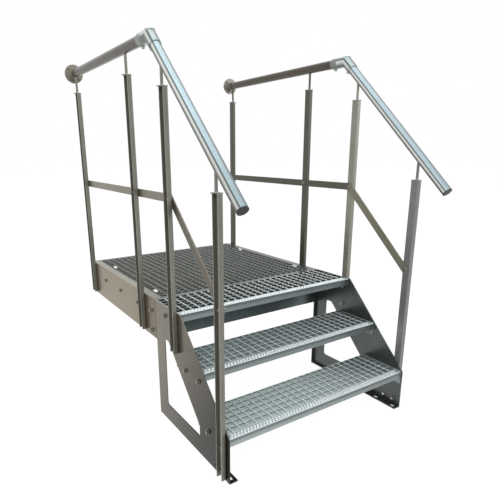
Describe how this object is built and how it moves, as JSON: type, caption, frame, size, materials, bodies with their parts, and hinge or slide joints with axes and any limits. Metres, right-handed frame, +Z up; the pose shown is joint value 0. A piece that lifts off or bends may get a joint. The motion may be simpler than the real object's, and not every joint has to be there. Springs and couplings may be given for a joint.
{
  "type": "outdoor wall stair",
  "caption": "Steel outdoor stair with grating steps and a grating platform fixed to a wall, on two plate cheeks, with tube handrails, channel posts and flat knee rails.",
  "frame": {"origin": "middle of the back face of the platform's rear beam, where it meets the wall", "axes": "+X to the right of somebody who climbs the stair, +Y into the wall, +Z up"},
  "size_m": [1.138, 1.6878, 1.703],
  "materials": {
    "galvanised_plate": "dull galvanised plate",
    "galvanised_frame": "dull galvanised sections",
    "galvanised_grating": "galvanised welded grating",
    "galvanised_nosing": "bright galvanised safety nosing",
    "galvanised_post": "galvanised cold-formed channel",
    "galvanised_tube": "galvanised tube",
    "cast_fitting": "galvanised malleable cast fitting",
    "black_plastic": "black plastic"
  },
  "bodies": {
    "root": {"lower_step_grating": "galvanised_grating", "lower_step_nosing": "galvanised_nosing", "middle_step_grating": "galvanised_grating", "middle_step_nosing": "galvanised_nosing", "top_step_grating": "galvanised_grating", "top_step_nosing": "galvanised_nosing", "platform_front_beam": "galvanised_frame", "platform_rear_beam": "galvanised_frame", "platform_grating": "galvanised_grating", "cheek_left": "galvanised_plate", "platform_side_left": "galvanised_frame", "post_foot_left": "galvanised_post", "post_front_left": "galvanised_post", "post_middle_left": "galvanised_post", "post_rear_left": "galvanised_post", "handrail_level_left": "galvanised_tube", "handrail_slope_left": "galvanised_tube", "end_plug_left": "black_plastic", "elbow_rear_left": "cast_fitting", "elbow_front_left": "cast_fitting", "wall_disc_left": "cast_fitting", "knee_rail_left": "galvanised_post", "cheek_right": "galvanised_plate", "platform_side_right": "galvanised_frame", "post_foot_right": "galvanised_post", "post_front_right": "galvanised_post", "post_middle_right": "galvanised_post", "post_rear_right": "galvanised_post", "handrail_level_right": "galvanised_tube", "handrail_slope_right": "galvanised_tube", "end_plug_right": "black_plastic", "elbow_rear_right": "cast_fitting", "elbow_front_right": "cast_fitting", "wall_disc_right": "cast_fitting", "knee_rail_right": "galvanised_post"}
  },
  "joints": []
}
